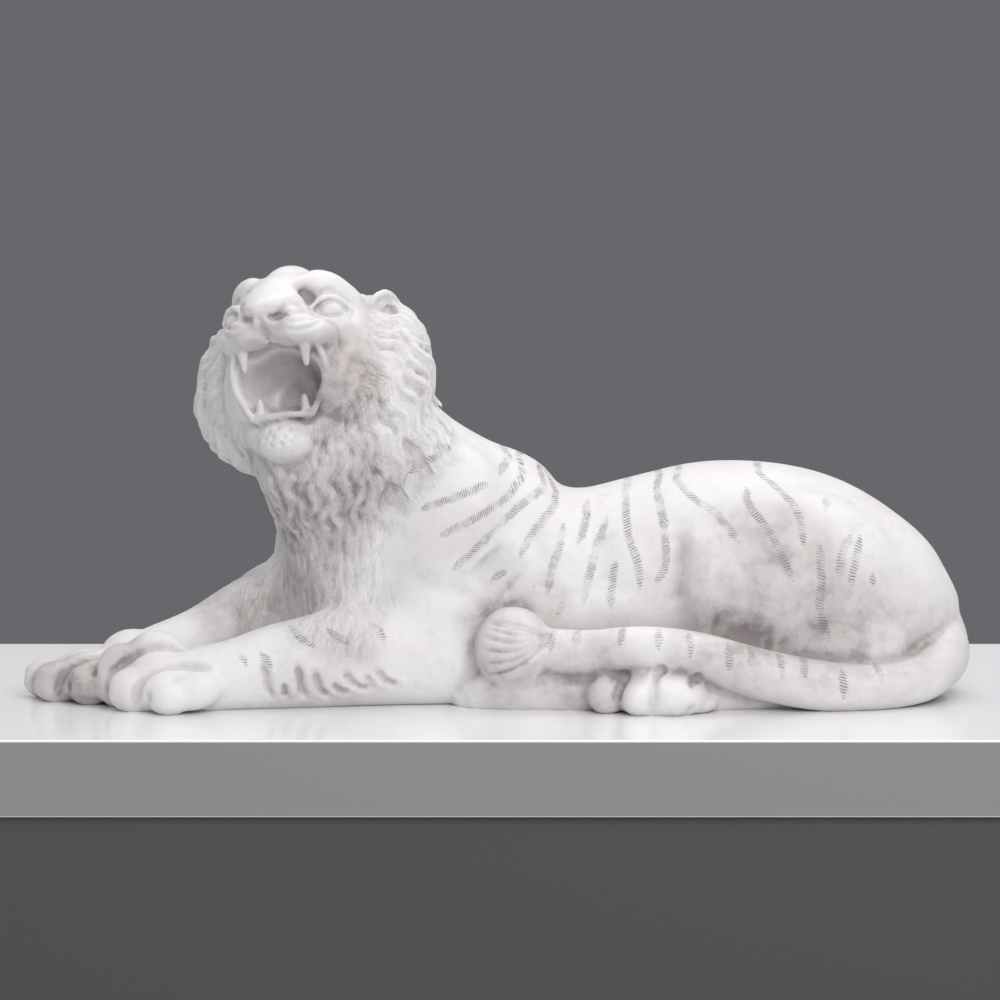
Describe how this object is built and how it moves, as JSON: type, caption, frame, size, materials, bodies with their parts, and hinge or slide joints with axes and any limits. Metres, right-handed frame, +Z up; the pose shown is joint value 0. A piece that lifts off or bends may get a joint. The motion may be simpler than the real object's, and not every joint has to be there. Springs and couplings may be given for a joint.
{
  "type": "tiger figurine",
  "caption": "Reclining, roaring tiger figurine cast in one piece of matt white stone, with a wavy ruff, bared teeth and its tail wrapped round to the near elbow.",
  "frame": {"origin": "centre of the footprint of the bounding box, on the surface that the figurine stands on", "axes": "+X towards the rump and -X towards the paws, along the body; -Y towards the tiger's left flank, the side that its head and tail turn to; +Z up"},
  "size_m": [0.48, 0.172, 0.219],
  "materials": {
    "stone": "matt"
  },
  "bodies": {
    "root": {"tiger": "stone"}
  },
  "joints": []
}
